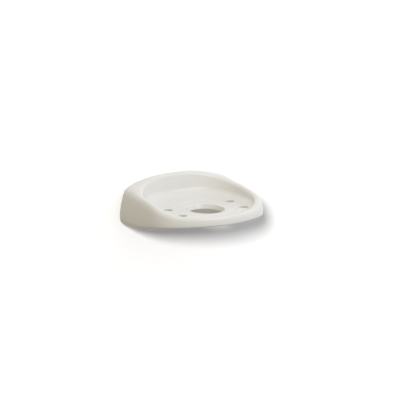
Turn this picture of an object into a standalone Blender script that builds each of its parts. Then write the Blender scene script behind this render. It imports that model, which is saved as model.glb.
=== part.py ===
"""Wall-hung ceramic tumbler and toothbrush holder on a hidden dovetail bracket.

The dish slides down over a pressed steel bracket that two screws and plugs hold to the wall.
The wall is the plane y = 0, the dish stands out of it towards -y, and the origin is in the
middle of the bracket's back. Every length is in metres.
"""

import math
from collections import namedtuple

import bmesh
import bpy
import numpy as np

# Gap between two pieces that touch, and how far a cutter runs past what it cuts
GAP = 0.0003
OVERRUN = 0.0020

# Bracket: a pressed strip whose flanges flare away from the wall and whose sides taper upwards
SHEET = 0.0012
SHEET_EDGE = 0.0003
BRACKET_HEIGHT = 0.0320
BRACKET_TOP_WIDTH = 0.0360
BRACKET_FOOT_WIDTH = 0.0400
FLANGE_REACH = 0.0044
FLANGE_FLARE = 0.0030
SLOT_SPACING = 0.0160
SLOT_WIDTH = 0.0046
SLOT_LENGTH = 0.0072
REST_BAND = 0.0060

# Screws, washers and wall plugs
SHANK_RADIUS = 0.0019
SCREW_LENGTH = 0.0300
SCREW_POINT = 0.0050
HEAD_RADIUS = 0.0036
HEAD_HEIGHT = 0.0020
CROSS_WIDTH = 0.0009
CROSS_LENGTH = 0.0042
CROSS_DEPTH = 0.0012
WASHER_RADIUS = 0.0045
WASHER_THICKNESS = 0.0008
PLUG_RADIUS = 0.0034
PLUG_LENGTH = 0.0320
PLUG_COLLAR = 0.0060
PLUG_NOSE = 0.0040
PLUG_SLIT = 0.0012
PLUG_SLIT_START = 0.0110
TOOTH_DEPTH = 0.0005
TOOTH_PITCH = 0.0036
TOOTH_SHARE = 0.20
CROWN_SHARE = 0.60

# Dish: heights above its lowest edge
DISH_HEIGHT = 0.0478
CORNER_HEIGHT = 0.0360
LIP_HEIGHT = 0.0234
LIP_FOOT_HEIGHT = 0.0130
TRAY_HEIGHT = 0.0226
SEAT_DEPTH = 0.0004
UNDERSIDE_HEIGHT = 0.0168
BRACKET_FOOT_HEIGHT = 0.0050

# Dish: places out from the wall and across it
DISH_WIDTH = 0.1400
SEAT_REACH = 0.0670
SEAT_RADIUS = 0.0330
LIP_WIDTH = 0.0097
DRAIN_RADIUS = 0.0180
DRAIN_MOUTH_RADIUS = 0.0205
BRUSH_HOLE_RADIUS = 0.0052
BRUSH_ACROSS = 0.0396
BRUSH_SPACING = 0.0276

# Dish: walls and rounded edges
RIM_ROLL = 0.0080
RIM_HEIGHT = 0.0090
RIM_DROP = 0.0042
RIM_INNER_ROLL = 0.0035
BACK_ROLL = 0.0042
BACK_INNER_ROLL = 0.0036
WALL_LEAN = 0.0010
TRAY_FILLET = 0.0060
FILLET_HEIGHT = 0.0090
BACK_FILLET = 0.0110
SKIRT_WALL = 0.0040
SKIRT_EDGE = 0.0015
SKIRT_FILLET = 0.0030
BACK_BLOCK = 0.0130
REAR_CORNER = 0.0150
FOOT_LEAN = 0.0046
SEAT_EDGE = 0.0015
DRAIN_EDGE = 0.0008
HOLE_EDGE = 0.0012
SOCKET_DEPTH = 0.0056
SOCKET_HEADROOM = 0.0015

# How square each outline of the dish is: 2 is an ellipse, and more is squarer
FRONT_SQUARE_SHARE = 1.80
FLANK_SQUARE_SHARE = 3.15
CREST_SQUARE_SHARE = 3.7
INNER_SQUARE_SHARE = 3.3
FLOOR_SQUARE_SHARE = 2.6
SKIRT_SQUARE_SHARE = 5.0
RIM_SQUARE_SHARE = 2.1
FOOT_SQUARE_SHARE = 2.15
FILLET_SQUARE_SHARE = 1.75

# Shares that shape the rim, the foot and the rolls
FLANK_REACH_SHARE = 3.00
BELLY_SHARE = 0.22
FALL_REACH_SHARE = 0.812
FALL_POWER_SHARE = 3.0
FALL_SOFT_SHARE = 0.09
ARCH_POWER_SHARE = 2.5
ARCH_FADE_SHARES = (0.18, 0.50)
FOOT_RISE_SHARES = (0.17, 1.02)
ROLL_SHARE = 0.42
FULL_ROLL_SHARE = 0.62
LEAN_SHARE = 0.42
CORNER_LEAN_SHARE = 0.65
FRONT_ROLL_SHARE = 0.60
LIP_SHARES = (0.55, 0.42, 0.22)
HOLE_LIFT_SHARE = 0.06

# How finely the shapes are faceted
HALF_DIRECTIONS = 45
SCAN_DIRECTIONS = 2001
CORNER_CARE = 0.020
SIDE_STEPS = 2
TURN_STEPS = 24
HOLE_STEPS = 28

Outline = namedtuple("Outline", "half_width front rear front_square rear_square")

DISH_FOOT = -(BRACKET_FOOT_HEIGHT + BRACKET_HEIGHT / 2)
SEAT_FRONT = SEAT_RADIUS + SEAT_EDGE + LIP_WIDTH
DISH_DEPTH = SEAT_REACH + SEAT_FRONT
HEAD_SEAT = SHEET + GAP + WASHER_THICKNESS + GAP


def clear_scene():
    for old in list(bpy.data.objects):
        bpy.data.objects.remove(old, do_unlink=True)


def new_collection(name):
    made = bpy.data.collections.new(name)
    bpy.context.scene.collection.children.link(made)
    return made


def new_material(name, colour, roughness, metallic):
    made = bpy.data.materials.new(name)
    made.use_nodes = True
    shader = made.node_tree.nodes["Principled BSDF"]
    shader.inputs["Base Color"].default_value = (*colour, 1.0)
    shader.inputs["Roughness"].default_value = roughness
    shader.inputs["Metallic"].default_value = metallic
    return made


def new_object(name, mesh, collection, material=None):
    made = bpy.data.objects.new(name, mesh)
    collection.objects.link(made)
    if material:
        mesh.materials.append(material)
    return made


def cut(target, cutter):
    cutter.hide_render = True
    cutter.display_type = "WIRE"
    modifier = target.modifiers.new("cut_" + cutter.name, "BOOLEAN")
    modifier.operation = "DIFFERENCE"
    modifier.solver = "EXACT"
    modifier.object = cutter


def into_wall(made, height):
    """Turns a piece modelled along local Z so that its top faces out of the wall."""
    made.rotation_euler.x = math.pi / 2
    made.location.z = height


def turned(name, profile, steps, collection, material=None, closed=False):
    """Turns (radius, height) pairs about local Z, where the outer side runs from top to bottom."""
    count = len(profile)
    edges = [(i, (i + 1) % count) for i in range(count if closed else count - 1)]
    mesh = bpy.data.meshes.new(name)
    mesh.from_pydata([(radius, 0.0, height) for radius, height in profile], edges, [])
    made = new_object(name, mesh, collection, material)
    screw = made.modifiers.new("turn", "SCREW")
    screw.steps = steps
    screw.render_steps = steps
    screw.use_merge_vertices = True
    screw.merge_threshold = GAP / 10
    screw.use_smooth_shade = True
    return made


def smoothstep(value, low, high):
    share = np.clip((value - low) / (high - low), 0.0, 1.0)
    return share * share * (3.0 - 2.0 * share)


def outline_radius(direction, outline):
    """How far an outline is from the seat's axis, in each direction of the plan.

    It is one superellipse in front of the axis and another behind it. Direction 0 points
    across the dish and a quarter turn points out from the wall.
    """
    out = np.sin(direction)
    reach = np.where(out > 0, outline.front, outline.rear)
    square = np.where(out > 0, outline.front_square, outline.rear_square)
    across = np.abs(np.cos(direction)) / outline.half_width
    return (across**square + (np.abs(out) / reach) ** square) ** (-1.0 / square)


def outer_radius(direction, lean):
    """The outer side at one level, drawn in by lean and stopped flat at the wall."""
    free = outline_radius(
        direction,
        Outline(
            DISH_WIDTH / 2 - lean,
            SEAT_FRONT - lean,
            SEAT_REACH * FLANK_REACH_SHARE,
            FRONT_SQUARE_SHARE,
            FLANK_SQUARE_SHARE,
        ),
    )
    wall = SEAT_REACH / np.maximum(-np.sin(direction), GAP / SEAT_REACH)
    near = np.clip(1.0 - np.abs(free - wall) / REAR_CORNER, 0.0, 1.0)
    return np.minimum(free, wall) - near * near * REAR_CORNER / 4


def half_directions():
    """Directions from the wall round to the front, closer where the outer side bends."""
    scan = np.linspace(-math.pi / 2, math.pi / 2, SCAN_DIRECTIONS)
    radius = outer_radius(scan, 0.0)
    step_x = np.diff(radius * np.cos(scan))
    step_y = np.diff(radius * np.sin(scan))
    heading = np.unwrap(np.arctan2(step_y, step_x))
    bend = np.abs(np.diff(heading, prepend=heading[0]))
    travel = np.concatenate([[0.0], np.cumsum(np.hypot(step_x, step_y) + CORNER_CARE * bend)])
    return np.interp(np.linspace(0.0, travel[-1], HALF_DIRECTIONS), travel, scan)


def roll(start, corner, end, steps, square=2.0):
    """Stations of a quarter of a superellipse from start to end, round the corner between them."""
    stations = []
    for turn in np.linspace(0.0, math.pi / 2, steps + 1):
        to_start = 1.0 - math.sin(turn) ** (2.0 / square)
        to_end = 1.0 - math.cos(turn) ** (2.0 / square)
        stations.append(
            tuple(
                c + (a - c) * to_start + (b - c) * to_end
                for a, c, b in zip(start, corner, end)
            )
        )
    return stations


def crest_height(across, out):
    """Height of the rim's crest: an arch over the back that falls along the sides to the lip."""
    fall = 1.0 - (np.maximum(out, 0.0) / (DISH_DEPTH * FALL_REACH_SHARE)) ** FALL_POWER_SHARE
    fall = (fall + np.sqrt(fall * fall + FALL_SOFT_SHARE**2)) / 2
    side = LIP_HEIGHT + (CORNER_HEIGHT - LIP_HEIGHT) * np.minimum(fall, 1.0)
    span = np.clip(np.abs(across) / (DISH_WIDTH / 2 - RIM_ROLL), 0.0, 1.0)
    low, high = (DISH_DEPTH * share for share in ARCH_FADE_SHARES)
    arch = (1.0 - span**ARCH_POWER_SHARE) * (1.0 - smoothstep(out, low, high))
    return side + (DISH_HEIGHT - CORNER_HEIGHT) * arch


def dish_stations(direction):
    """The closed section of the dish in each direction, as (radius, height) stations.

    The stations climb the outer side, cross the rim, go down to the tray and the seat, pass
    through the drain hole and come back under the tray to the foot of the skirt.
    """
    half_width = DISH_WIDTH / 2
    level = np.ones_like(direction)
    foot = outer_radius(direction, FOOT_LEAN)
    belly = outer_radius(direction, 0.0)
    crest = outline_radius(
        direction,
        Outline(
            half_width - RIM_ROLL,
            SEAT_FRONT - RIM_ROLL * FRONT_ROLL_SHARE,
            SEAT_REACH - BACK_ROLL,
            FRONT_SQUARE_SHARE,
            CREST_SQUARE_SHARE,
        ),
    )
    seat_rim = SEAT_RADIUS + SEAT_EDGE
    lip_room = SEAT_FRONT - RIM_ROLL * FRONT_ROLL_SHARE - seat_rim
    inner_share, base_share, floor_share = LIP_SHARES
    inner = outline_radius(
        direction,
        Outline(
            half_width - RIM_ROLL - RIM_INNER_ROLL,
            seat_rim + lip_room * inner_share,
            SEAT_REACH - BACK_ROLL - BACK_INNER_ROLL,
            FRONT_SQUARE_SHARE,
            INNER_SQUARE_SHARE,
        ),
    )
    base = outline_radius(
        direction,
        Outline(
            half_width - RIM_ROLL - RIM_INNER_ROLL - WALL_LEAN,
            seat_rim + lip_room * base_share,
            SEAT_REACH - BACK_ROLL - BACK_INNER_ROLL - WALL_LEAN,
            FRONT_SQUARE_SHARE,
            (INNER_SQUARE_SHARE + FLOOR_SQUARE_SHARE) / 2,
        ),
    )
    floor = outline_radius(
        direction,
        Outline(
            half_width - RIM_ROLL - RIM_INNER_ROLL - WALL_LEAN - TRAY_FILLET,
            seat_rim + lip_room * floor_share,
            SEAT_REACH - BACK_ROLL - BACK_INNER_ROLL - WALL_LEAN - BACK_FILLET,
            FRONT_SQUARE_SHARE,
            FLOOR_SQUARE_SHARE,
        ),
    )
    crest_z = crest_height(crest * np.cos(direction), SEAT_REACH + crest * np.sin(direction))
    low, high = (DISH_DEPTH * share for share in FOOT_RISE_SHARES)
    foot_z = LIP_FOOT_HEIGHT * smoothstep(SEAT_REACH + belly * np.sin(direction), low, high)
    rise = crest_z - foot_z
    off_wall = smoothstep(SEAT_REACH + belly * np.sin(direction), 0.0, REAR_CORNER)
    corner = smoothstep(np.abs(belly * np.cos(direction)), half_width - 2 * REAR_CORNER, half_width)
    off_wall = off_wall + (1.0 - off_wall) * corner * CORNER_LEAN_SHARE
    belly_z = foot_z + rise * BELLY_SHARE
    side = crest_z - belly_z
    lean = (belly - crest) * LEAN_SHARE * off_wall
    drop = BACK_ROLL + (np.minimum(RIM_HEIGHT, side * FULL_ROLL_SHARE) - BACK_ROLL) * off_wall
    shoulder_z = crest_z - drop
    above = crest_z - TRAY_HEIGHT
    inner_drop = np.minimum(RIM_DROP, above * ROLL_SHARE)
    fillet_rise = np.minimum(FILLET_HEIGHT, above * ROLL_SHARE)

    stations = roll((foot, foot_z), (belly, foot_z), (belly, belly_z), 4, FOOT_SQUARE_SHARE)
    shares = np.linspace(0.0, 1.0, SIDE_STEPS + 2)[1:-1]
    outer = [(belly, belly_z + (shoulder_z - belly_z) * share) for share in shares]
    outer += roll(
        (belly, shoulder_z), (belly, crest_z), (crest + lean, crest_z), 6, RIM_SQUARE_SHARE
    )
    stations += [(radius - lean * ((z - belly_z) / side) ** 2, z) for radius, z in outer]
    stations += roll((crest, crest_z), (inner, crest_z), (inner, crest_z - inner_drop), 4)[1:]
    tray = TRAY_HEIGHT * level
    stations += roll((base, tray + fillet_rise), (base, tray), (floor, tray), 5, FILLET_SQUARE_SHARE)

    seat_z = TRAY_HEIGHT - SEAT_DEPTH
    step_z = TRAY_HEIGHT - SEAT_DEPTH / 2
    flare = DRAIN_EDGE * (DRAIN_MOUTH_RADIUS - DRAIN_RADIUS) / (seat_z - UNDERSIDE_HEIGHT)
    rounds = (
        ((seat_rim, TRAY_HEIGHT), (SEAT_RADIUS, TRAY_HEIGHT), (SEAT_RADIUS, step_z)),
        ((SEAT_RADIUS, step_z), (SEAT_RADIUS, seat_z), (SEAT_RADIUS - SEAT_EDGE, seat_z)),
        (
            (DRAIN_MOUTH_RADIUS + DRAIN_EDGE, seat_z),
            (DRAIN_MOUTH_RADIUS, seat_z),
            (DRAIN_MOUTH_RADIUS - flare, seat_z - DRAIN_EDGE),
        ),
        (
            (DRAIN_RADIUS + flare, UNDERSIDE_HEIGHT + DRAIN_EDGE),
            (DRAIN_RADIUS, UNDERSIDE_HEIGHT),
            (DRAIN_RADIUS + DRAIN_EDGE, UNDERSIDE_HEIGHT),
        ),
    )
    for start, corner, end in rounds:
        points = roll(start, corner, end, 2)
        points = points[1:] if start[1] == step_z else points
        stations += [(r * level, z * level) for r, z in points]

    skirt_foot = outline_radius(
        direction,
        Outline(
            half_width - FOOT_LEAN - SKIRT_WALL,
            SEAT_FRONT - FOOT_LEAN - SKIRT_EDGE - SKIRT_EDGE,
            SEAT_REACH - BACK_BLOCK,
            FRONT_SQUARE_SHARE,
            SKIRT_SQUARE_SHARE,
        ),
    )
    skirt_top = skirt_foot - WALL_LEAN / 2
    depth = UNDERSIDE_HEIGHT - foot_z
    root = np.minimum(SKIRT_FILLET, depth * ROLL_SHARE)
    edge = np.minimum(SKIRT_EDGE, depth * ROLL_SHARE)
    under = UNDERSIDE_HEIGHT * level
    stations += roll((skirt_top - root, under), (skirt_top, under), (skirt_top, under - root), 2)
    stations += roll(
        (skirt_foot, foot_z + edge), (skirt_foot, foot_z), (skirt_foot + edge, foot_z), 2
    )
    return stations


def loft_half(name, direction, stations, collection, material):
    """Skins the sections of the right half, from the plane x = 0 at the wall to the front."""
    made = bmesh.new()
    rings = []
    for radius, height in stations:
        x = radius * np.cos(direction)
        y = -(SEAT_REACH + radius * np.sin(direction))
        z = DISH_FOOT + height
        x[0] = x[-1] = 0.0
        rings.append([made.verts.new(point) for point in zip(x, y, z)])
    for inner, outer in zip(rings, rings[1:] + rings[:1]):
        for i in range(len(direction) - 1):
            face = made.faces.new((inner[i], inner[i + 1], outer[i + 1], outer[i]))
            face.smooth = True
    mesh = bpy.data.meshes.new(name)
    made.to_mesh(mesh)
    made.free()
    return new_object(name, mesh, collection, material)


def socket_cutter(collection):
    """The dovetail slot up the back of the dish, open at its foot and tapered like the bracket."""
    cutter = bmesh.new()
    bmesh.ops.create_cube(cutter, size=2.0)
    top = BRACKET_HEIGHT / 2 + SOCKET_HEADROOM
    foot = DISH_FOOT - OVERRUN
    slope = FLANGE_FLARE / FLANGE_REACH
    side_gap = GAP * math.hypot(1.0, slope)
    for corner in cutter.verts:
        z = top if corner.co.z > 0 else foot
        y = OVERRUN if corner.co.y > 0 else -SOCKET_DEPTH
        half = bracket_half_width(z) + side_gap - y * slope
        corner.co = (math.copysign(half, corner.co.x), y, z)
    mesh = bpy.data.meshes.new("bracket_socket")
    cutter.to_mesh(mesh)
    cutter.free()
    return new_object("bracket_socket", mesh, collection)


def brush_hole_cutter(name, across, out, collection):
    """A plain bore that opens out at both faces of the tray to round the hole's edges."""
    top = HOLE_EDGE * HOLE_LIFT_SHARE
    thickness = TRAY_HEIGHT - UNDERSIDE_HEIGHT
    upper = roll(
        (BRUSH_HOLE_RADIUS + HOLE_EDGE, top),
        (BRUSH_HOLE_RADIUS, top),
        (BRUSH_HOLE_RADIUS, top - HOLE_EDGE),
        3,
    )
    lower = [(radius, -thickness - height) for radius, height in reversed(upper)]
    wide = BRUSH_HOLE_RADIUS + HOLE_EDGE
    profile = [(0.0, OVERRUN), (wide, OVERRUN), *upper, *lower]
    profile += [(wide, -thickness - OVERRUN), (0.0, -thickness - OVERRUN)]
    cutter = turned(name, profile, HOLE_STEPS, collection)
    cutter.location = (across, -out, DISH_FOOT + TRAY_HEIGHT)
    return cutter


def make_dish(parts, cutters, china):
    direction = half_directions()
    dish = loft_half("dish", direction, dish_stations(direction), parts, china)
    mirror = dish.modifiers.new("mirror", "MIRROR")
    mirror.use_axis = (True, False, False)
    mirror.merge_threshold = GAP / 10
    cut(dish, socket_cutter(cutters))
    for side, across in (("left", -BRUSH_ACROSS), ("right", BRUSH_ACROSS)):
        for row, step in (("rear", -BRUSH_SPACING / 2), ("front", BRUSH_SPACING / 2)):
            name = f"brush_hole_{side}_{row}"
            cut(dish, brush_hole_cutter(name, across, SEAT_REACH + step, cutters))
    return dish


def bracket_half_width(z):
    """Half the width of the bracket where it leaves the wall, at one height."""
    share = 0.5 + z / BRACKET_HEIGHT
    return (BRACKET_FOOT_WIDTH + (BRACKET_TOP_WIDTH - BRACKET_FOOT_WIDTH) * share) / 2


def slot_cutter(name, height, upright, collection):
    """A slotted screw hole: a cylinder drawn out along or across the bracket."""
    cutter = bmesh.new()
    bmesh.ops.create_cone(
        cutter,
        cap_ends=True,
        segments=TURN_STEPS,
        radius1=SLOT_WIDTH / 2,
        radius2=SLOT_WIDTH / 2,
        depth=2 * (SHEET + OVERRUN),
    )
    draw = (SLOT_LENGTH - SLOT_WIDTH) / 2
    for corner in cutter.verts:
        if upright:
            corner.co.y += math.copysign(draw, corner.co.y)
        else:
            corner.co.x += math.copysign(draw, corner.co.x)
    mesh = bpy.data.meshes.new(name)
    cutter.to_mesh(mesh)
    cutter.free()
    made = new_object(name, mesh, collection)
    into_wall(made, height)
    return made


def make_bracket(parts, cutters, steel):
    made = bmesh.new()
    rows = []
    for z in (-BRACKET_HEIGHT / 2, -REST_BAND / 2, REST_BAND / 2, BRACKET_HEIGHT / 2):
        half = bracket_half_width(z)
        section = [(half, 0.0), (half + FLANGE_FLARE, -FLANGE_REACH)]
        section = [(-x, y) for x, y in reversed(section)] + section
        rows.append([made.verts.new((x, y, z)) for x, y in section])
    for low, high in zip(rows, rows[1:]):
        for i in range(len(low) - 1):
            made.faces.new((low[i], high[i], high[i + 1], low[i + 1]))
    mesh = bpy.data.meshes.new("wall_bracket")
    made.to_mesh(mesh)
    made.free()
    bracket = new_object("wall_bracket", mesh, parts, steel)
    solid = bracket.modifiers.new("sheet", "SOLIDIFY")
    solid.thickness = SHEET
    solid.offset = -1.0
    solid.use_even_offset = True
    bevel = bracket.modifiers.new("edges", "BEVEL")
    bevel.width = SHEET_EDGE
    bevel.segments = 2
    bevel.limit_method = "ANGLE"
    for name, height, upright in (
        ("screw_slot_upper", SLOT_SPACING / 2, True),
        ("screw_slot_lower", -SLOT_SPACING / 2, False),
    ):
        cut(bracket, slot_cutter(name, height, upright, cutters))
    return bracket


def make_screw(name, height, parts, cutters, steel):
    """A pan-head wood screw with a cross recess, its head resting on the washer."""
    crown = [
        (HEAD_RADIUS * math.sin(t), HEAD_SEAT + HEAD_HEIGHT * (1.0 - CROWN_SHARE * (1.0 - math.cos(t))))
        for t in np.linspace(0.0, math.pi / 2, 6)
    ]
    tip = HEAD_SEAT - SCREW_LENGTH
    profile = crown + [
        (HEAD_RADIUS, HEAD_SEAT),
        (SHANK_RADIUS, HEAD_SEAT),
        (SHANK_RADIUS, tip + SCREW_POINT),
        (0.0, tip),
    ]
    screw = turned(name, profile, TURN_STEPS, parts, steel)
    into_wall(screw, height)
    for label, size in (("a", (CROSS_LENGTH, CROSS_WIDTH)), ("b", (CROSS_WIDTH, CROSS_LENGTH))):
        made = bmesh.new()
        bmesh.ops.create_cube(made, size=1.0)
        bmesh.ops.scale(made, vec=(*size, 2 * CROSS_DEPTH), verts=made.verts)
        mesh = bpy.data.meshes.new(f"{name}_cross_{label}")
        made.to_mesh(mesh)
        made.free()
        cross = new_object(mesh.name, mesh, cutters)
        into_wall(cross, height)
        cross.location.y = -(HEAD_SEAT + HEAD_HEIGHT)
        cut(screw, cross)
    return screw


def make_washer(name, height, parts, steel):
    seat = SHEET + GAP
    profile = [
        (SHANK_RADIUS + GAP, seat + WASHER_THICKNESS),
        (WASHER_RADIUS, seat + WASHER_THICKNESS),
        (WASHER_RADIUS, seat),
        (SHANK_RADIUS + GAP, seat),
    ]
    washer = turned(name, profile, TURN_STEPS, parts, steel, closed=True)
    into_wall(washer, height)
    return washer


def make_plug(name, height, parts, cutters, nylon):
    """A nylon wall plug: a collar at the wall's face and four toothed legs that the screw parts."""
    bore = SHANK_RADIUS + GAP
    profile = [(bore, -PLUG_LENGTH - GAP), (bore, -GAP), (PLUG_RADIUS, -GAP)]
    profile.append((PLUG_RADIUS, -GAP - PLUG_COLLAR))
    teeth = int((PLUG_LENGTH - PLUG_COLLAR - PLUG_NOSE) / TOOTH_PITCH)
    for tooth in range(teeth):
        foot = -GAP - PLUG_COLLAR - tooth * TOOTH_PITCH
        profile.append((PLUG_RADIUS - TOOTH_DEPTH, foot - TOOTH_PITCH * TOOTH_SHARE))
        profile.append((PLUG_RADIUS, foot - TOOTH_PITCH))
    profile.append((bore + TOOTH_DEPTH, -PLUG_LENGTH - GAP))
    plug = turned(name, profile, TURN_STEPS, parts, nylon, closed=True)
    into_wall(plug, height)
    length = PLUG_LENGTH - PLUG_SLIT_START + OVERRUN
    width = 2 * (PLUG_RADIUS + OVERRUN)
    for label, size in (("a", (width, PLUG_SLIT)), ("b", (PLUG_SLIT, width))):
        made = bmesh.new()
        bmesh.ops.create_cube(made, size=1.0)
        bmesh.ops.scale(made, vec=(*size, length), verts=made.verts)
        mesh = bpy.data.meshes.new(f"{name}_slit_{label}")
        made.to_mesh(mesh)
        made.free()
        slit = new_object(mesh.name, mesh, cutters)
        into_wall(slit, height)
        slit.location.y = GAP + PLUG_SLIT_START + length / 2
        cut(plug, slit)
    return plug


def build():
    clear_scene()
    parts = new_collection("tumbler_holder")
    cutters = new_collection("cutters")
    china = new_material("glazed_china", (0.80, 0.77, 0.70), 0.12, 0.0)
    steel = new_material("zinc_plated_steel", (0.62, 0.63, 0.64), 0.35, 1.0)
    nylon = new_material("grey_nylon", (0.45, 0.46, 0.47), 0.55, 0.0)
    make_dish(parts, cutters, china)
    make_bracket(parts, cutters, steel)
    for place, height in (("upper", SLOT_SPACING / 2), ("lower", -SLOT_SPACING / 2)):
        make_screw(f"bracket_screw_{place}", height, parts, cutters, steel)
        make_washer(f"washer_{place}", height, parts, steel)
        make_plug(f"wall_plug_{place}", height, parts, cutters, nylon)


build()
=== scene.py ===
"""Looks of a wall-hung china tumbler holder on its hidden bracket.

The wall is the plane y = 0, the dish stands out of it towards -y, and the origin is in the middle
of the bracket's back. Every length is in metres.
"""

import math

import bmesh
import bpy
import numpy as np
from mathutils import Matrix, Vector


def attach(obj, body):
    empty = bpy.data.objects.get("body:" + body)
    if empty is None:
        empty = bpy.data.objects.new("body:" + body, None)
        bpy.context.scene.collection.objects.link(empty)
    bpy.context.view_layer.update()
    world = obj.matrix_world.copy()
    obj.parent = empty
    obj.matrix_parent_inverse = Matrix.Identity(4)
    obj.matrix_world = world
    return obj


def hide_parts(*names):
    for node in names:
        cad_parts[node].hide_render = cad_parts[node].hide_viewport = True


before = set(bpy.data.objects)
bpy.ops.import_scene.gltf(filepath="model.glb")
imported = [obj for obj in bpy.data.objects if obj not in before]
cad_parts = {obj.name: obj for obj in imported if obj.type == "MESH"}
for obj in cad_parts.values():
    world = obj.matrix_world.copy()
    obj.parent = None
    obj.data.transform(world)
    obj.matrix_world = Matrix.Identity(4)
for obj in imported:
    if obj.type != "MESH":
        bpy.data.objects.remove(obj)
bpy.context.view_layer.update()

# Wall plugs
# Two moulded nylon plugs, 6.8 mm across, pushed into holes drilled in the wall. A plain collar
# sits at the wall's face, and behind it four toothed legs are parted by the screw. GAP is the
# clearance between two pieces that fit together.

GAP = 0.0003
WELD = GAP / 10
SCREW_HEIGHTS = {"upper": 0.0080, "lower": -0.0080}
SHANK_RADIUS = 0.0019
PLUG_RADIUS = 0.0034
PLUG_LENGTH = 0.0320
PLUG_COLLAR = 0.0060
PLUG_NOSE = 0.0040
PLUG_SLIT = 0.0012
PLUG_SLIT_START = 0.0110
PLUG_EDGE = 0.0004
TOOTH_DEPTH = 0.0005
TOOTH_PITCH = 0.0036
TOOTH_SHARE = 0.20
PLUG_STEPS = 48
PLUG_CREASE = math.radians(35)
CUT_OVERRUN = 0.0020
STRAIGHT_DOWN = -0.9999
NYLON_GREY = (0.42, 0.43, 0.44)
NYLON_CHALKY = (0.52, 0.53, 0.53)
NYLON_PATCH = 0.0030
NYLON_GRAIN = 0.0004
NYLON_GRAIN_DEPTH = 0.00003


class Wire:
    """A node's output in a material, so that shader maths is written as plain sums."""

    def __init__(self, finish, socket):
        self.finish = finish
        self.socket = socket

    def maths(self, operation, *values):
        return self.finish.node("ShaderNodeMath", {"operation": operation}, dict(enumerate(values)))

    def __add__(self, other):
        return self.maths("ADD", self, other)

    def __sub__(self, other):
        return self.maths("SUBTRACT", self, other)

    def __rsub__(self, other):
        return self.maths("SUBTRACT", other, self)

    def __mul__(self, other):
        return self.maths("MULTIPLY", self, other)

    __radd__ = __add__
    __rmul__ = __mul__


class Finish:
    """A material or the sky, its main shader and the one method that adds nodes to it."""

    def __init__(self, owner, shader="Principled BSDF"):
        owner.use_nodes = True
        self.owner = owner
        self.shader = owner.node_tree.nodes[shader]

    def node(self, kind, settings, sockets, output=0):
        made = self.owner.node_tree.nodes.new(kind)
        for name, value in settings.items():
            setattr(made, name, value)
        for key, value in sockets.items():
            self.feed(made.inputs[key], value)
        return Wire(self, made.outputs[output])

    def feed(self, socket, value):
        if isinstance(value, Wire):
            self.owner.node_tree.links.new(value.socket, socket)
        else:
            socket.default_value = value

    def set(self, **sockets):
        for name, value in sockets.items():
            self.feed(self.shader.inputs[name.replace("_", " ")], value)

    def place(self):
        """Where a point is in the part's own frame, in metres."""
        return self.node("ShaderNodeTexCoord", {}, {}, "Object")

    def noise(self, place, size, detail=2.0):
        """Soft cloud noise from 0 to 1, with patches about size across."""
        sockets = {"Vector": place, "Scale": 1 / size, "Detail": detail}
        return self.node("ShaderNodeTexNoise", {}, sockets)

    def fade(self, value, low, high):
        """0 below low and 1 above high, with a soft step between them."""
        settings = {"interpolation_type": "SMOOTHSTEP"}
        sockets = {"Value": value, "From Min": low, "From Max": high}
        return self.node("ShaderNodeMapRange", settings, sockets)

    def tint(self, share, first, second):
        """The first colour where share is 0 and the second where it is 1."""
        sockets = {0: share, 6: self.colour(first), 7: self.colour(second)}
        return self.node("ShaderNodeMix", {"data_type": "RGBA"}, sockets, 2)

    def colour(self, value):
        return value if isinstance(value, Wire) else (*value, 1.0)

    def relief(self, height, depth):
        """A bump that stands proud by depth where height is 1."""
        return self.node("ShaderNodeBump", {}, {"Height": height, "Distance": depth, "Strength": 1.0})


def put_in_scene(name, data):
    """A new object for a mesh, a lamp or a lens."""
    made = bpy.data.objects.new(name, data)
    bpy.context.scene.collection.objects.link(made)
    return made


def piece_of(name, form):
    """Puts a form drawn with bmesh in the scene, and closes the drawing."""
    mesh = bpy.data.meshes.new(name)
    form.to_mesh(mesh)
    form.free()
    return put_in_scene(name, mesh)


def turned_piece(name, profile, steps):
    """A closed profile of (radius, height) points turned about the piece's own Z axis."""
    mesh = bpy.data.meshes.new(name)
    count = len(profile)
    edges = [(i, (i + 1) % count) for i in range(count)]
    mesh.from_pydata([(radius, 0.0, height) for radius, height in profile], edges, [])
    piece = put_in_scene(name, mesh)
    turn = piece.modifiers.new("turn", "SCREW")
    turn.steps = turn.render_steps = steps
    turn.use_merge_vertices = True
    turn.merge_threshold = WELD
    return piece


def box_cutter(name, size):
    form = bmesh.new()
    bmesh.ops.create_cube(form, size=1.0)
    bmesh.ops.scale(form, vec=size, verts=form.verts)
    return piece_of(name, form)


def cut_away(piece, cutter):
    cutter.hide_render = True
    boolean = piece.modifiers.new("cut", "BOOLEAN")
    boolean.operation = "DIFFERENCE"
    boolean.solver = "EXACT"
    boolean.object = cutter


def face_outwards(piece, height):
    """Lays a piece made along local Z so that its top faces out of the wall."""
    piece.rotation_euler.x = math.pi / 2
    piece.location.z = height


def apply_modifiers(piece):
    """Makes the piece's mesh what its modifiers show, and throws its cutters away."""
    bpy.context.view_layer.update()
    state = bpy.context.evaluated_depsgraph_get()
    mesh = bpy.data.meshes.new_from_object(
        piece.evaluated_get(state), preserve_all_data_layers=True, depsgraph=state
    )
    cutters = [step.object for step in piece.modifiers if step.type == "BOOLEAN"]
    piece.modifiers.clear()
    piece.data = mesh
    for cutter in cutters:
        bpy.data.objects.remove(cutter)


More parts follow.
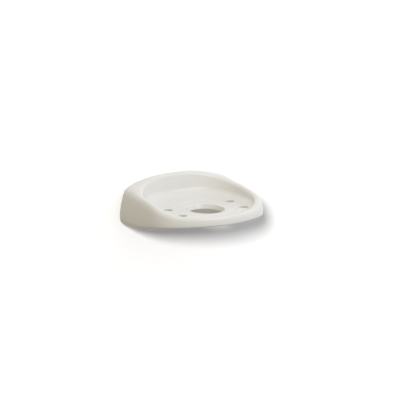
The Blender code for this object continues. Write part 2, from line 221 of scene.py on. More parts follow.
def settle(piece, crease):
    """Applies the modifiers and the placing, and shades the mesh smooth up to the crease angle.

    Faces with more than four corners, left by a cut, and faces that look straight down are flat,
    and they lead the shading round them.
    """
    apply_modifiers(piece)
    piece.data.transform(piece.matrix_world)
    piece.matrix_world = Matrix.Identity(4)
    piece.data.shade_smooth()
    piece.data.set_sharp_from_angle(angle=crease)
    flat_faces = piece.vertex_groups.new(name="flat_faces")
    for face in piece.data.polygons:
        if len(face.vertices) > 4 or face.normal.z < STRAIGHT_DOWN:
            flat_faces.add(list(face.vertices), 1.0, "REPLACE")
    flatten = piece.modifiers.new("flatten", "WEIGHTED_NORMAL")
    flatten.vertex_group = flat_faces.name
    flatten.keep_sharp = True
    apply_modifiers(piece)


def hand_over(piece, material, node, body):
    """Gives a finished piece its material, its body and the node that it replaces."""
    piece.data.materials.clear()
    piece.data.materials.append(material)
    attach(piece, body)
    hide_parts(node)


def wall_plug(place, height):
    bore = SHANK_RADIUS + GAP
    end = -PLUG_LENGTH - GAP
    profile = [
        (bore, end),
        (bore, -GAP - PLUG_EDGE),
        (bore + PLUG_EDGE, -GAP),
        (PLUG_RADIUS - PLUG_EDGE, -GAP),
        (PLUG_RADIUS, -GAP - PLUG_EDGE),
        (PLUG_RADIUS, -GAP - PLUG_COLLAR),
    ]
    for tooth in range(int((PLUG_LENGTH - PLUG_COLLAR - PLUG_NOSE) / TOOTH_PITCH)):
        foot = -GAP - PLUG_COLLAR - tooth * TOOTH_PITCH
        profile.append((PLUG_RADIUS - TOOTH_DEPTH, foot - TOOTH_PITCH * TOOTH_SHARE))
        profile.append((PLUG_RADIUS - PLUG_EDGE / 4, foot - TOOTH_PITCH + PLUG_EDGE))
        profile.append((PLUG_RADIUS, foot - TOOTH_PITCH))
    profile.append((bore + TOOTH_DEPTH, end))
    plug = turned_piece(f"nylon_plug_{place}", profile, PLUG_STEPS)
    face_outwards(plug, height)
    length = PLUG_LENGTH - PLUG_SLIT_START + CUT_OVERRUN
    width = 2 * (PLUG_RADIUS + CUT_OVERRUN)
    for size in ((width, PLUG_SLIT, length), (PLUG_SLIT, width, length)):
        slit = box_cutter("plug_slit", size)
        face_outwards(slit, height)
        slit.location.y = GAP + PLUG_SLIT_START + length / 2
        cut_away(plug, slit)
    settle(plug, PLUG_CREASE)
    return plug


nylon = Finish(bpy.data.materials.new("grey_nylon_moulded"))
nylon_place = nylon.place()
chalk = nylon.noise(nylon_place, NYLON_PATCH)
grain = nylon.noise(nylon_place, NYLON_GRAIN)
nylon.set(
    Base_Color=nylon.tint(chalk, NYLON_GREY, NYLON_CHALKY),
    Roughness=0.42 + chalk * 0.15,
    Normal=nylon.relief(grain, NYLON_GRAIN_DEPTH),
)
for place, height in SCREW_HEIGHTS.items():
    plug = wall_plug(place, height)
    hand_over(plug, nylon.owner, f"wall_plug_{place}", "bracket")

# Wall bracket
# A strip of 1.2 mm steel, pressed so that its two flanges flare away from the wall, narrower at
# the top than at the foot. It has an upright and a level slot for the screws, and is zinc plated.

SHEET = 0.0012
SHEET_EDGE = 0.0003
BRACKET_HEIGHT = 0.0320
BRACKET_TOP_WIDTH = 0.0360
BRACKET_FOOT_WIDTH = 0.0400
FLANGE_REACH = 0.0044
FLANGE_FLARE = 0.0030
SLOT_WIDTH = 0.0046
SLOT_LENGTH = 0.0072
SLOT_STEPS = 48
SHEET_EDGE_STEPS = 3
SHEET_CREASE = math.radians(50)
ZINC_BRIGHT = (0.66, 0.67, 0.68)
ZINC_DULL = (0.50, 0.51, 0.53)
ZINC_SPANGLE = 0.0022
ZINC_STREAKS_PER_METRE = (900.0, 900.0, 7000.0)
ZINC_STREAK_DEPTH = 0.000006


def bracket_half_width(z):
    share = 0.5 + z / BRACKET_HEIGHT
    return (BRACKET_FOOT_WIDTH + (BRACKET_TOP_WIDTH - BRACKET_FOOT_WIDTH) * share) / 2


def slot_cutter(height, drawn_axis):
    """A round cutter, drawn out into a slot along its own x (0) or its own y (1)."""
    form = bmesh.new()
    bmesh.ops.create_cone(
        form,
        cap_ends=True,
        segments=SLOT_STEPS,
        radius1=SLOT_WIDTH / 2,
        radius2=SLOT_WIDTH / 2,
        depth=2 * (SHEET + CUT_OVERRUN),
    )
    draw = (SLOT_LENGTH - SLOT_WIDTH) / 2
    for corner in form.verts:
        corner.co[drawn_axis] += math.copysign(draw, corner.co[drawn_axis])
    cutter = piece_of("screw_slot", form)
    face_outwards(cutter, height)
    return cutter


strip = bmesh.new()
rows = []
for z in (-BRACKET_HEIGHT / 2, BRACKET_HEIGHT / 2):
    half = bracket_half_width(z)
    right_side = [(half, 0.0), (half + FLANGE_FLARE, -FLANGE_REACH)]
    left_side = [(-x, y) for x, y in reversed(right_side)]
    rows.append([strip.verts.new((x, y, z)) for x, y in left_side + right_side])
foot, top = rows
for i in range(len(foot) - 1):
    strip.faces.new((foot[i], top[i], top[i + 1], foot[i + 1]))
pressed_bracket = piece_of("pressed_bracket", strip)
thicken = pressed_bracket.modifiers.new("thicken", "SOLIDIFY")
thicken.thickness = SHEET
thicken.offset = -1.0
thicken.use_even_offset = True
cut_away(pressed_bracket, slot_cutter(SCREW_HEIGHTS["upper"], 1))
cut_away(pressed_bracket, slot_cutter(SCREW_HEIGHTS["lower"], 0))
edges = pressed_bracket.modifiers.new("edges", "BEVEL")
edges.width = SHEET_EDGE
edges.segments = SHEET_EDGE_STEPS
edges.limit_method = "ANGLE"
settle(pressed_bracket, SHEET_CREASE)

zinc = Finish(bpy.data.materials.new("zinc_plate"))
zinc_place = zinc.place()
spangle = zinc.noise(zinc_place, ZINC_SPANGLE, detail=3.0)
drawn = zinc.node("ShaderNodeMapping", {}, {"Vector": zinc_place, "Scale": ZINC_STREAKS_PER_METRE})
streaks = zinc.noise(drawn, 1.0)
zinc.set(
    Base_Color=zinc.tint(spangle, ZINC_DULL, ZINC_BRIGHT),
    Metallic=1.0,
    Roughness=0.30 + spangle * 0.14,
    Normal=zinc.relief(streaks, ZINC_STREAK_DEPTH),
)
hand_over(pressed_bracket, zinc.owner, "wall_bracket", "bracket")

# Washers
# Two plain stamped steel washers under the screw heads, zinc plated like the bracket, with edges
# that the stamping rounded.

WASHER_RADIUS = 0.0045
WASHER_THICKNESS = 0.0008
WASHER_EDGE = 0.0002
WASHER_STEPS = 64

inner = SHANK_RADIUS + GAP
low = SHEET + GAP
top = low + WASHER_THICKNESS
washer_profile = [
    (inner, low),
    (inner, top - WASHER_EDGE),
    (inner + WASHER_EDGE, top),
    (WASHER_RADIUS - WASHER_EDGE, top),
    (WASHER_RADIUS, top - WASHER_EDGE),
    (WASHER_RADIUS, low),
]
for place, height in SCREW_HEIGHTS.items():
    washer = turned_piece(f"stamped_washer_{place}", washer_profile, WASHER_STEPS)
    face_outwards(washer, height)
    settle(washer, SHEET_CREASE)
    hand_over(washer, zinc.owner, f"washer_{place}", "bracket")

# Bracket screws
# Two pan-head wood screws, 30 mm long under the head, with a cross recess. The thread is rolled
# from the point up to a plain neck, and the steel is zinc plated.

HEAD_SEAT = SHEET + GAP + WASHER_THICKNESS + GAP
SCREW_LENGTH = 0.0300
SCREW_POINT = 0.0050
SCREW_NECK = 0.0060
THREAD_PITCH = 0.0015
THREAD_DEPTH = 0.0005
HEAD_RADIUS = 0.0036
HEAD_HEIGHT = 0.0020
CROWN_SHARE = 0.60
CROWN_START = 0.08
CROWN_RINGS = 12
CROSS_WIDTH = 0.0009
CROSS_LENGTH = 0.0042
CROSS_DEPTH = 0.0012
SCREW_SIDES = 40
RINGS_PER_PITCH = 10
FLANK_STEEPNESS = 3.0
SCREW_CREASE = math.radians(40)


def head_rings():
    """Radius, angle and height round each ring of the head, from its crown to the shank."""
    profile = []
    for turn in np.linspace(CROWN_START, math.pi / 2, CROWN_RINGS):
        rise = HEAD_HEIGHT * (1.0 - CROWN_SHARE * (1.0 - math.cos(turn)))
        profile.append((HEAD_RADIUS * math.sin(turn), HEAD_SEAT + rise))
    profile += [(HEAD_RADIUS, HEAD_SEAT), (SHANK_RADIUS, HEAD_SEAT)]
    angles = [2 * math.pi * side / SCREW_SIDES for side in range(SCREW_SIDES)]
    return [[(radius, angle, z) for angle in angles] for radius, z in profile]


def thread_rings():
    """Radius, angle and height round each ring of the shank, from the neck to near the point."""
    rings = []
    length = SCREW_LENGTH - SCREW_NECK
    count = int(length / THREAD_PITCH * RINGS_PER_PITCH)
    for ring in range(count):
        down = length * ring / count
        z = HEAD_SEAT - SCREW_NECK - down
        point = min(1.0, (length - down) / SCREW_POINT)
        ease = min(1.0, down / THREAD_PITCH)
        row = []
        for side in range(SCREW_SIDES):
            turn = side / SCREW_SIDES
            crest = 1.0 - abs((down / THREAD_PITCH + turn) % 1.0 - 0.5) * FLANK_STEEPNESS
            groove = THREAD_DEPTH * ease * (1.0 - max(0.0, crest))
            row.append(((SHANK_RADIUS - groove) * point, 2 * math.pi * turn, z))
        rings.append(row)
    return rings


def wood_screw(place, height):
    form = bmesh.new()
    rows = []
    for ring in head_rings() + thread_rings():
        rows.append([form.verts.new((r * math.cos(a), r * math.sin(a), z)) for r, a, z in ring])
    for upper, lower in zip(rows, rows[1:]):
        for i in range(SCREW_SIDES):
            j = (i + 1) % SCREW_SIDES
            form.faces.new((upper[i], lower[i], lower[j], upper[j]))
    form.faces.new(rows[0])
    tip = form.verts.new((0.0, 0.0, HEAD_SEAT - SCREW_LENGTH))
    for i in range(SCREW_SIDES):
        form.faces.new((rows[-1][(i + 1) % SCREW_SIDES], rows[-1][i], tip))
    screw = piece_of(f"wood_screw_{place}", form)
    face_outwards(screw, height)
    for size in ((CROSS_LENGTH, CROSS_WIDTH), (CROSS_WIDTH, CROSS_LENGTH)):
        cross = box_cutter("head_cross", (*size, 2 * CROSS_DEPTH))
        face_outwards(cross, height)
        cross.location.y = -(HEAD_SEAT + HEAD_HEIGHT)
        cut_away(screw, cross)
    settle(screw, SCREW_CREASE)
    return screw


for place, height in SCREW_HEIGHTS.items():
    screw = wood_screw(place, height)
    hand_over(screw, zinc.owner, f"bracket_screw_{place}", "bracket")

# Dish
# One piece of slip-cast vitreous china: a raised back and sides that fall to a low front lip, and a
# flat tray with a barely sunk round seat, a drain and four holes. It is glazed all over but for its
# back, where a tapered socket slides down over the bracket.

# Heights above the dish's foot
BRACKET_FOOT_HEIGHT = 0.0050
DISH_HEIGHT = 0.0478
CORNER_HEIGHT = 0.0360
LIP_HEIGHT = 0.0234
LIP_FOOT_HEIGHT = 0.0130
TRAY_HEIGHT = 0.0226
UNDERSIDE_HEIGHT = 0.0168
DISH_FOOT = -(BRACKET_FOOT_HEIGHT + BRACKET_HEIGHT / 2)

# The plan, from the wall out to the seat's axis, and the seat
DISH_WIDTH = 0.1400
SEAT_REACH = 0.0670
SEAT_RADIUS = 0.0330
SEAT_DEPTH = 0.0004
SEAT_EDGE = 0.0015
LIP_WIDTH = 0.0097
HALF_WIDTH = DISH_WIDTH / 2
SEAT_RIM = SEAT_RADIUS + SEAT_EDGE
SEAT_FRONT = SEAT_RIM + LIP_WIDTH
DISH_DEPTH = SEAT_REACH + SEAT_FRONT

# The drain and the four holes
DRAIN_RADIUS = 0.0180
DRAIN_MOUTH_RADIUS = 0.0205
DRAIN_EDGE = 0.0008
BRUSH_HOLE_RADIUS = 0.0052
BRUSH_ACROSS = 0.0396
BRUSH_SPACING = 0.0276
HOLE_EDGE = 0.0012
HOLE_LIFT_SHARE = 0.06

# The rim's rolls, to the outside and to the inside
RIM_ROLL = 0.0080
RIM_HEIGHT = 0.0090
RIM_DROP = 0.0042
RIM_INNER_ROLL = 0.0035
BACK_ROLL = 0.0042
BACK_INNER_ROLL = 0.0036
ROLL_SHARE = 0.42
FULL_ROLL_SHARE = 0.38
FRONT_ROLL_SHARE = 0.60
CREST_FRONT = SEAT_FRONT - RIM_ROLL * FRONT_ROLL_SHARE

# The inner wall and the fillet at its foot
WALL_LEAN = 0.0010
TRAY_FILLET = 0.0060
FILLET_HEIGHT = 0.0090
BACK_FILLET = 0.0110
LIP_SHARES = (0.55, 0.42, 0.22)

# The outer side and the skirt
SKIRT_WALL = 0.0040
SKIRT_EDGE = 0.0015
SKIRT_FILLET = 0.0030
BACK_BLOCK = 0.0130
REAR_CORNER = 0.0150
FLANK_REACH_SHARE = 3.00
FOOT_LEAN = 0.0046
FOOT_RISE_SHARES = (0.17, 1.02)
BELLY_SHARE = 0.22
LEAN_SHARE = 0.42
CORNER_LEAN_SHARE = 0.65

# How the rim arches over the back and falls to the lip
FALL_REACH_SHARE = 0.812
FALL_POWER_SHARE = 3.0
FALL_SOFT_SHARE = 0.09
ARCH_POWER_SHARE = 2.5
ARCH_FADE_SHARES = (0.18, 0.50)

# How square each curve is, as the power of its superellipse
FRONT_SQUARE_SHARE = 1.80
FLANK_SQUARE_SHARE = 3.15
CREST_SQUARE_SHARE = 3.7
INNER_SQUARE_SHARE = 3.3
FLOOR_SQUARE_SHARE = 2.6
SKIRT_SQUARE_SHARE = 5.0
RIM_SQUARE_SHARE = 2.7
FOOT_SQUARE_SHARE = 2.15
FILLET_SQUARE_SHARE = 1.75

# The socket
SOCKET_DEPTH = 0.0056
SOCKET_HEADROOM = 0.0015

# How finely the shape is stepped
DIRECTIONS = 150
SCAN_STEPS = 4000
BEND_WORTH = 0.020
FOOT_STEPS = 10
SIDE_STEPS = 7
RIM_STEPS = 18
INNER_STEPS = 12
FILLET_STEPS = 16
EDGE_STEPS = 8
HOLE_EDGE_STEPS = 10
HOLE_STEPS = 72
DISH_CREASE = math.radians(40)


def smoothstep(value, low, high):
    share = np.clip((value - low) / (high - low), 0.0, 1.0)
    return share * share * (3.0 - 2.0 * share)


def off_the_wall(radius, direction):
    """How far out of the wall a point is that lies at that radius from the seat's axis."""
    return SEAT_REACH + radius * np.sin(direction)


def outline_radius(direction, half_width, front, rear, rear_square):
    """How far an outline is from the seat's axis: one superellipse in front and one behind."""
    out = np.sin(direction)
    reach = np.where(out > 0, front, rear)
    square = np.where(out > 0, FRONT_SQUARE_SHARE, rear_square)
    across = np.abs(np.cos(direction)) / half_width
    return (across**square + (np.abs(out) / reach) ** square) ** (-1.0 / square)


def outer_radius(direction, lean):
    """The outer side at one level, drawn in by lean, and flat at the wall with round corners."""
    rear = SEAT_REACH * FLANK_REACH_SHARE
    free = outline_radius(direction, HALF_WIDTH - lean, SEAT_FRONT - lean, rear, FLANK_SQUARE_SHARE)
    towards_wall = np.maximum(-np.sin(direction), GAP / SEAT_REACH)
    wall = SEAT_REACH / towards_wall
    near = np.clip(1.0 - np.abs(free - wall) / REAR_CORNER, 0.0, 1.0)
    return np.minimum(free, wall) - near * near * REAR_CORNER / 4


def spread_directions():
    """Directions from the wall round to the front, closer where the outer side bends.

    A radian of bend counts for as much of the way as BEND_WORTH of travel.
    """
    scan = np.linspace(-math.pi / 2, math.pi / 2, SCAN_STEPS + 1)
    radius = outer_radius(scan, 0.0)
    step_x = np.diff(radius * np.cos(scan))
    step_y = np.diff(radius * np.sin(scan))
    heading = np.unwrap(np.arctan2(step_y, step_x))
    bend = np.abs(np.diff(heading, prepend=heading[0]))
    travel = np.concatenate([[0.0], np.cumsum(np.hypot(step_x, step_y) + BEND_WORTH * bend)])
    return np.interp(np.linspace(0.0, travel[-1], DIRECTIONS), travel, scan)


def roll(start, corner, end, steps, square=2.0):
    """Stations of a quarter of a superellipse from start to end, round the corner between them."""
    stations = []
    for turn in np.linspace(0.0, math.pi / 2, steps + 1):
        to_start = 1.0 - math.sin(turn) ** (2.0 / square)
        to_end = 1.0 - math.cos(turn) ** (2.0 / square)
        points = zip(start, corner, end)
        stations.append(tuple(c + (a - c) * to_start + (b - c) * to_end for a, c, b in points))
    return stations


def crest_height(across, out):
    """Height of the rim's crest: an arch over the back that falls along the sides to the lip."""
    fall = 1.0 - (np.maximum(out, 0.0) / (DISH_DEPTH * FALL_REACH_SHARE)) ** FALL_POWER_SHARE
    fall = (fall + np.sqrt(fall * fall + FALL_SOFT_SHARE**2)) / 2
    side = LIP_HEIGHT + (CORNER_HEIGHT - LIP_HEIGHT) * np.minimum(fall, 1.0)
    span = np.clip(np.abs(across) / (HALF_WIDTH - RIM_ROLL), 0.0, 1.0)
    low, high = (DISH_DEPTH * share for share in ARCH_FADE_SHARES)
    arch = (1.0 - span**ARCH_POWER_SHARE) * (1.0 - smoothstep(out, low, high))
    return side + (DISH_HEIGHT - CORNER_HEIGHT) * arch


def side_stations(direction, foot_z, crest, crest_z):
    """The outer side from its rounded foot up over the rim to the crest.

    It leans in and rolls further over where it is clear of the wall.
    """
    foot = outer_radius(direction, FOOT_LEAN)
    belly = outer_radius(direction, 0.0)
    clear = smoothstep(off_the_wall(belly, direction), 0.0, REAR_CORNER)
    across = np.abs(belly * np.cos(direction))
    corner = smoothstep(across, HALF_WIDTH - 2 * REAR_CORNER, HALF_WIDTH)
    clear = clear + (1.0 - clear) * corner * CORNER_LEAN_SHARE
    belly_z = foot_z + (crest_z - foot_z) * BELLY_SHARE
    side = crest_z - belly_z
    lean = (belly - crest) * LEAN_SHARE * clear
    drop = BACK_ROLL + (np.minimum(RIM_HEIGHT, side * FULL_ROLL_SHARE) - BACK_ROLL) * clear
    shoulder_z = crest_z - drop
    stations = roll(
        (foot, foot_z), (belly, foot_z), (belly, belly_z), FOOT_STEPS, FOOT_SQUARE_SHARE
    )
    shares = np.linspace(0.0, 1.0, SIDE_STEPS + 1)[1:-1]
    outer = [(belly, belly_z + (shoulder_z - belly_z) * share) for share in shares]
    outer += roll(
        (belly, shoulder_z), (belly, crest_z), (crest + lean, crest_z), RIM_STEPS, RIM_SQUARE_SHARE
    )
    return stations + [(radius - lean * ((z - belly_z) / side) ** 2, z) for radius, z in outer]


def basin_stations(direction, crest, crest_z):
    """From the crest down the inner wall, and round the fillet to the flat of the tray."""
    rim = RIM_ROLL + RIM_INNER_ROLL
    back_rim = BACK_ROLL + BACK_INNER_ROLL
    side_insets = (0.0, WALL_LEAN, WALL_LEAN + TRAY_FILLET)
    back_insets = (0.0, WALL_LEAN, WALL_LEAN + BACK_FILLET)
    base_square = (INNER_SQUARE_SHARE + FLOOR_SQUARE_SHARE) / 2
    squares = (INNER_SQUARE_SHARE, base_square, FLOOR_SQUARE_SHARE)
    inner, base, flat = (
        outline_radius(
            direction,
            HALF_WIDTH - rim - side_inset,
            SEAT_RIM + (CREST_FRONT - SEAT_RIM) * lip_share,
            SEAT_REACH - back_rim - back_inset,
            square,
        )
        for side_inset, lip_share, back_inset, square in zip(
            side_insets, LIP_SHARES, back_insets, squares
        )
    )
    above = crest_z - TRAY_HEIGHT
    drop = np.minimum(RIM_DROP, above * ROLL_SHARE)
    rise = np.minimum(FILLET_HEIGHT, above * ROLL_SHARE)
    tray = np.full_like(direction, TRAY_HEIGHT)
    stations = roll((crest, crest_z), (inner, crest_z), (inner, crest_z - drop), INNER_STEPS)[1:]
    return stations + roll(
        (base, tray + rise), (base, tray), (flat, tray), FILLET_STEPS, FILLET_SQUARE_SHARE
    )


def seat_and_drain_stations(direction):
    """Down the step of the seat, over the drain's mouth and down its cone to the underside."""
    seat_z = TRAY_HEIGHT - SEAT_DEPTH
    step_z = TRAY_HEIGHT - SEAT_DEPTH / 2
    flare = DRAIN_EDGE * (DRAIN_MOUTH_RADIUS - DRAIN_RADIUS) / (seat_z - UNDERSIDE_HEIGHT)
    profile = roll(
        (SEAT_RIM, TRAY_HEIGHT), (SEAT_RADIUS, TRAY_HEIGHT), (SEAT_RADIUS, step_z), EDGE_STEPS
    )
    profile += roll(
        (SEAT_RADIUS, step_z), (SEAT_RADIUS, seat_z), (SEAT_RADIUS - SEAT_EDGE, seat_z), EDGE_STEPS
    )[1:]
    profile += roll(
        (DRAIN_MOUTH_RADIUS + DRAIN_EDGE, seat_z),
        (DRAIN_MOUTH_RADIUS, seat_z),
        (DRAIN_MOUTH_RADIUS - flare, seat_z - DRAIN_EDGE),
        EDGE_STEPS,
    )
    profile += roll(
        (DRAIN_RADIUS + flare, UNDERSIDE_HEIGHT + DRAIN_EDGE),
        (DRAIN_RADIUS, UNDERSIDE_HEIGHT),
        (DRAIN_RADIUS + DRAIN_EDGE, UNDERSIDE_HEIGHT),
        EDGE_STEPS,
    )
    all_round = np.ones_like(direction)
    return [(radius * all_round, z * all_round) for radius, z in profile]


def skirt_stations(direction, foot_z):
    """From the underside down the hollow inside of the skirt to its foot."""
    foot = outline_radius(
        direction,
        HALF_WIDTH - FOOT_LEAN - SKIRT_WALL,
        SEAT_FRONT - FOOT_LEAN - 2 * SKIRT_EDGE,
        SEAT_REACH - BACK_BLOCK,
        SKIRT_SQUARE_SHARE,
    )
    top = foot - WALL_LEAN / 2
    under = np.full_like(direction, UNDERSIDE_HEIGHT)
    depth = UNDERSIDE_HEIGHT - foot_z
    root = np.minimum(SKIRT_FILLET, depth * ROLL_SHARE)
    edge = np.minimum(SKIRT_EDGE, depth * ROLL_SHARE)
    stations = roll((top - root, under), (top, under), (top, under - root), EDGE_STEPS)
    return stations + roll((foot, foot_z + edge), (foot, foot_z), (foot + edge, foot_z), EDGE_STEPS)


def dish_stations(direction):
    """The closed section of the dish in each direction, as (radius, height) stations."""
    crest = outline_radius(
        direction, HALF_WIDTH - RIM_ROLL, CREST_FRONT, SEAT_REACH - BACK_ROLL, CREST_SQUARE_SHARE
    )
    crest_z = crest_height(crest * np.cos(direction), off_the_wall(crest, direction))
    low, high = (DISH_DEPTH * share for share in FOOT_RISE_SHARES)
    belly = outer_radius(direction, 0.0)
    foot_z = LIP_FOOT_HEIGHT * smoothstep(off_the_wall(belly, direction), low, high)
    return [
        *side_stations(direction, foot_z, crest, crest_z),
        *basin_stations(direction, crest, crest_z),
        *seat_and_drain_stations(direction),
        *skirt_stations(direction, foot_z),
    ]


def cast_dish():
    """Half of the dish, skinned from section to section, and its mirror image.

    The first and the last direction lie in the mirror's plane.
    """
    direction = spread_directions()
    form = bmesh.new()
    rings = []
    for radius, height in dish_stations(direction):
        x = radius * np.cos(direction)
        y = -off_the_wall(radius, direction)
        z = DISH_FOOT + height
        x[0] = x[-1] = 0.0
        rings.append([form.verts.new(point) for point in zip(x, y, z)])
    for inner, outer in zip(rings, rings[1:] + rings[:1]):
        for i in range(len(direction) - 1):
            form.faces.new((inner[i], inner[i + 1], outer[i + 1], outer[i]))
    dish = piece_of("china_dish", form)
    mirror = dish.modifiers.new("mirror", "MIRROR")
    mirror.use_axis = (True, False, False)
    mirror.merge_threshold = WELD
    return dish


def socket_cutter():
    """A box with its corners moved to the taper and the flare of the bracket's flanges."""
    cutter = box_cutter("bracket_socket", (1.0, 1.0, 1.0))
    top = BRACKET_HEIGHT / 2 + SOCKET_HEADROOM
    slope = FLANGE_FLARE / FLANGE_REACH
    side_gap = GAP * math.hypot(1.0, slope)
    for corner in cutter.data.vertices:
        z = top if corner.co.z > 0 else DISH_FOOT - CUT_OVERRUN
        y = CUT_OVERRUN if corner.co.y > 0 else -SOCKET_DEPTH
        half = bracket_half_width(z) + side_gap - y * slope
        corner.co = (math.copysign(half, corner.co.x), y, z)
    return cutter


def brush_hole_cutter(across, out):
    top = HOLE_EDGE * HOLE_LIFT_SHARE
    thickness = TRAY_HEIGHT - UNDERSIDE_HEIGHT
    wide = BRUSH_HOLE_RADIUS + HOLE_EDGE
    upper = roll(
        (wide, top), (BRUSH_HOLE_RADIUS, top), (BRUSH_HOLE_RADIUS, top - HOLE_EDGE), HOLE_EDGE_STEPS
    )
    lower = [(radius, -thickness - height) for radius, height in reversed(upper)]
    profile = [(0.0, CUT_OVERRUN), (wide, CUT_OVERRUN), *upper, *lower]
    profile += [(wide, -thickness - CUT_OVERRUN), (0.0, -thickness - CUT_OVERRUN)]
    cutter = turned_piece("brush_hole", profile, HOLE_STEPS)
    cutter.location = (across, -out, DISH_FOOT + TRAY_HEIGHT)
    return cutter


china_dish = cast_dish()
cut_away(china_dish, socket_cutter())
for across in (-BRUSH_ACROSS, BRUSH_ACROSS):
    for step in (-BRUSH_SPACING / 2, BRUSH_SPACING / 2):
        cut_away(china_dish, brush_hole_cutter(across, SEAT_REACH + step))
settle(china_dish, DISH_CREASE)

GLAZE = (0.82, 0.812, 0.79)
GLAZE_THICK = (0.80, 0.79, 0.77)
GLAZE_POOL = 0.030
GLAZE_RIPPLE = 0.012
GLAZE_RELIEF = 0.00002
GLAZE_STOPS = 0.0006
GLAZE_WANDER = 0.0004
BISQUE = (0.79, 0.76, 0.70)
BISQUE_GRIT = 0.0006

china = Finish(bpy.data.materials.new("glazed_china_white"))
china_place = china.place()
pool = china.noise(china_place, GLAZE_POOL)
ripple = china.noise(china_place, GLAZE_RIPPLE, detail=0.0)
grit = china.noise(china_place, BISQUE_GRIT)
depth = china.node("ShaderNodeSeparateXYZ", {}, {0: china_place}, "Y")
bare = china.fade(depth + (grit - 0.5) * GLAZE_WANDER, -GLAZE_STOPS, -GLAZE_STOPS / 3)
china.set(
    Base_Color=china.tint(bare, china.tint(pool, GLAZE, GLAZE_THICK), BISQUE),
    Roughness=0.17 + pool * 0.05 + bare * 0.45,
    Coat_Weight=0.2 - bare * 0.2,
    Coat_Roughness=0.08,
    Normal=china.relief(ripple + grit * bare, GLAZE_RELIEF),
)
hand_over(china_dish, china.owner, "dish", "dish")

# Wall and floor
# A white wall behind the dish, seen only from its front, and a pale floor well below it. Both are
# only there to stand the object in light. Other light passes through the wall.

WALL_WHITE = (0.67, 0.675, 0.695)
STAGE_HALF_WIDTH = 1.6
STAGE_FOOT = -1.1
STAGE_TOP = 1.5
STAGE_FRONT = -2.4
STAGE_REAR = 1.5


def flat_sheet(name, near, far):
    """A sheet as wide as the stage between a near and a far edge, each given as (y, z)."""
    side = STAGE_HALF_WIDTH
    mesh = bpy.data.meshes.new(name)
    mesh.from_pydata([(-side, *near), (side, *near), (side, *far), (-side, *far)], [], [(0, 1, 2, 3)])
    made = put_in_scene(name, mesh)
    return made


wall = flat_sheet("wall", (GAP, STAGE_FOOT), (GAP, STAGE_TOP))
floor = flat_sheet("floor", (STAGE_FRONT, STAGE_FOOT), (STAGE_REAR, STAGE_FOOT))
paint = Finish(bpy.data.materials.new("pale_paint"))
seen = paint.node("ShaderNodeLightPath", {}, {}, "Is Camera Ray")
behind = paint.node("ShaderNodeNewGeometry", {}, {}, "Backfacing")
paint.set(
    Base_Color=paint.colour(WALL_WHITE),
    Roughness=0.9,
    Specular_IOR_Level=0.0,
    Alpha=seen * (1.0 - behind),
)
for sheet in (wall, floor):
    sheet.data.materials.append(paint.owner)

# Light
# A soft sky, palest above the right side of the front and warmer to the left, which reflections
# see as white down to the horizon, and a round lamp in front for the glaze's highlights. A hazy
# sun lights the wall and floor alone and lays the dish's soft shadow on them.

PALE_SIDE = (0.30, -0.335, 0.893)
SKY_PALE = (0.95, 0.96, 0.975)
SKY_LEFT = (0.97, 0.85, 0.56)
SKY_LEFT_FADE = (-1.0, -0.1)
SKY_DARK = (0.16, 0.145, 0.12)
SKY_WHITE = (1.0, 1.0, 1.0)
SKY_WHITE_FADE = (-1.1, 0.0)
LIT_PLACE = Vector((0.0, -0.06, 0.0))
LAMP_FROM = (0.25, -0.68, 0.69)
LAMP_AWAY = 1.26
LAMP_SIZE = 0.90
LAMP_POWER = 3.3
SUN_FROM = (-0.585, -0.737, 0.338)
SUN_AWAY = 1.0
SUN_POWER = 4.05
SUN_SPREAD = math.radians(8.5)
SUN_COLOUR = (1.0, 0.985, 0.95)


def add_lamp(name, kind, side, away, power):
    """A lamp that shines on the dish from that side and that far away."""
    lamp = bpy.data.lights.new(name, kind)
    lamp.energy = power
    made = put_in_scene(name, lamp)
    place = LIT_PLACE + Vector(side) * away
    made.location = place
    made.rotation_euler = (place - LIT_PLACE).to_track_quat("Z", "Y").to_euler()
    return made


def link_to_stage(made, state):
    """Makes a lamp light the wall and floor alone, or everything but them."""
    lit = bpy.data.collections.new(f"{made.name}_and_stage")
    for i, sheet in enumerate((wall, floor)):
        lit.objects.link(sheet)
        lit.collection_objects[i].light_linking.link_state = state
    made.light_linking.receiver_collection = lit


lamp = add_lamp("round_lamp", "AREA", LAMP_FROM, LAMP_AWAY, LAMP_POWER)
lamp.data.shape = "DISK"
lamp.data.size = LAMP_SIZE
link_to_stage(lamp, "EXCLUDE")
sun = add_lamp("hazy_sun", "SUN", SUN_FROM, SUN_AWAY, SUN_POWER)
sun.data.angle = SUN_SPREAD
sun.data.color = SUN_COLOUR
link_to_stage(sun, "INCLUDE")

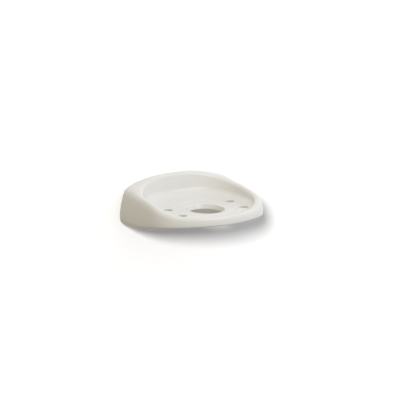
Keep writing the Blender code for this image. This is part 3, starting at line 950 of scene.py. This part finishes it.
sky = Finish(bpy.data.worlds.new("pale_sky"), "Background")
bpy.context.scene.world = sky.owner
heading = sky.node("ShaderNodeTexCoord", {}, {}, "Generated")
facing = {0: heading, 1: PALE_SIDE}
toward = sky.node("ShaderNodeVectorMath", {"operation": "DOT_PRODUCT"}, facing, "Value")
across = sky.node("ShaderNodeSeparateXYZ", {}, {0: heading}, "X")
pale = sky.tint(sky.fade(across, *SKY_LEFT_FADE), SKY_LEFT, SKY_PALE)
light = sky.tint(toward * 0.5 + 0.5, SKY_DARK, pale)
upward = sky.node("ShaderNodeSeparateXYZ", {}, {0: heading}, "Z")
above = sky.fade(upward, *SKY_WHITE_FADE)
lighting = 1.0 - sky.node("ShaderNodeLightPath", {}, {}, "Is Camera Ray")
for ray in ("Is Glossy Ray", "Is Transmission Ray"):
    lighting = lighting * (1.0 - above * sky.node("ShaderNodeLightPath", {}, {}, ray))
sky.set(Color=sky.tint(lighting, SKY_WHITE, light))

# Camera
# A view without perspective, as through a very long lens, from the front left and a little above.
# The pivot is on the seat's axis, a little to the right of the middle of the frame and below it.

AZIMUTH, ELEVATION, TILT = (math.radians(angle) for angle in (-34.17, 14.47, -1.357))
PIVOT_HEIGHT = 0.0170
PIVOT_RIGHT = 0.00582
PIVOT_DOWN = 0.01416
FRAME_WIDTH = 0.4274
CAMERA_AWAY = 1.2

pivot = Vector((0.0, -SEAT_REACH, DISH_FOOT + PIVOT_HEIGHT))
level = Vector((math.cos(AZIMUTH), math.sin(AZIMUTH), 0.0))
reach = math.cos(ELEVATION)
back = Vector((math.sin(AZIMUTH) * reach, -math.cos(AZIMUTH) * reach, math.sin(ELEVATION)))
rise = back.cross(level)
right = level * math.cos(TILT) - rise * math.sin(TILT)
up = level * math.sin(TILT) + rise * math.cos(TILT)
lens = bpy.data.cameras.new("camera")
lens.type = "ORTHO"
lens.ortho_scale = FRAME_WIDTH
camera = put_in_scene("camera", lens)
stand = Matrix((right, up, back)).transposed().to_4x4()
stand.translation = pivot - right * PIVOT_RIGHT + up * PIVOT_DOWN + back * CAMERA_AWAY
camera.matrix_world = stand
bpy.context.scene.camera = camera
bpy.context.scene.view_settings.view_transform = "Standard"
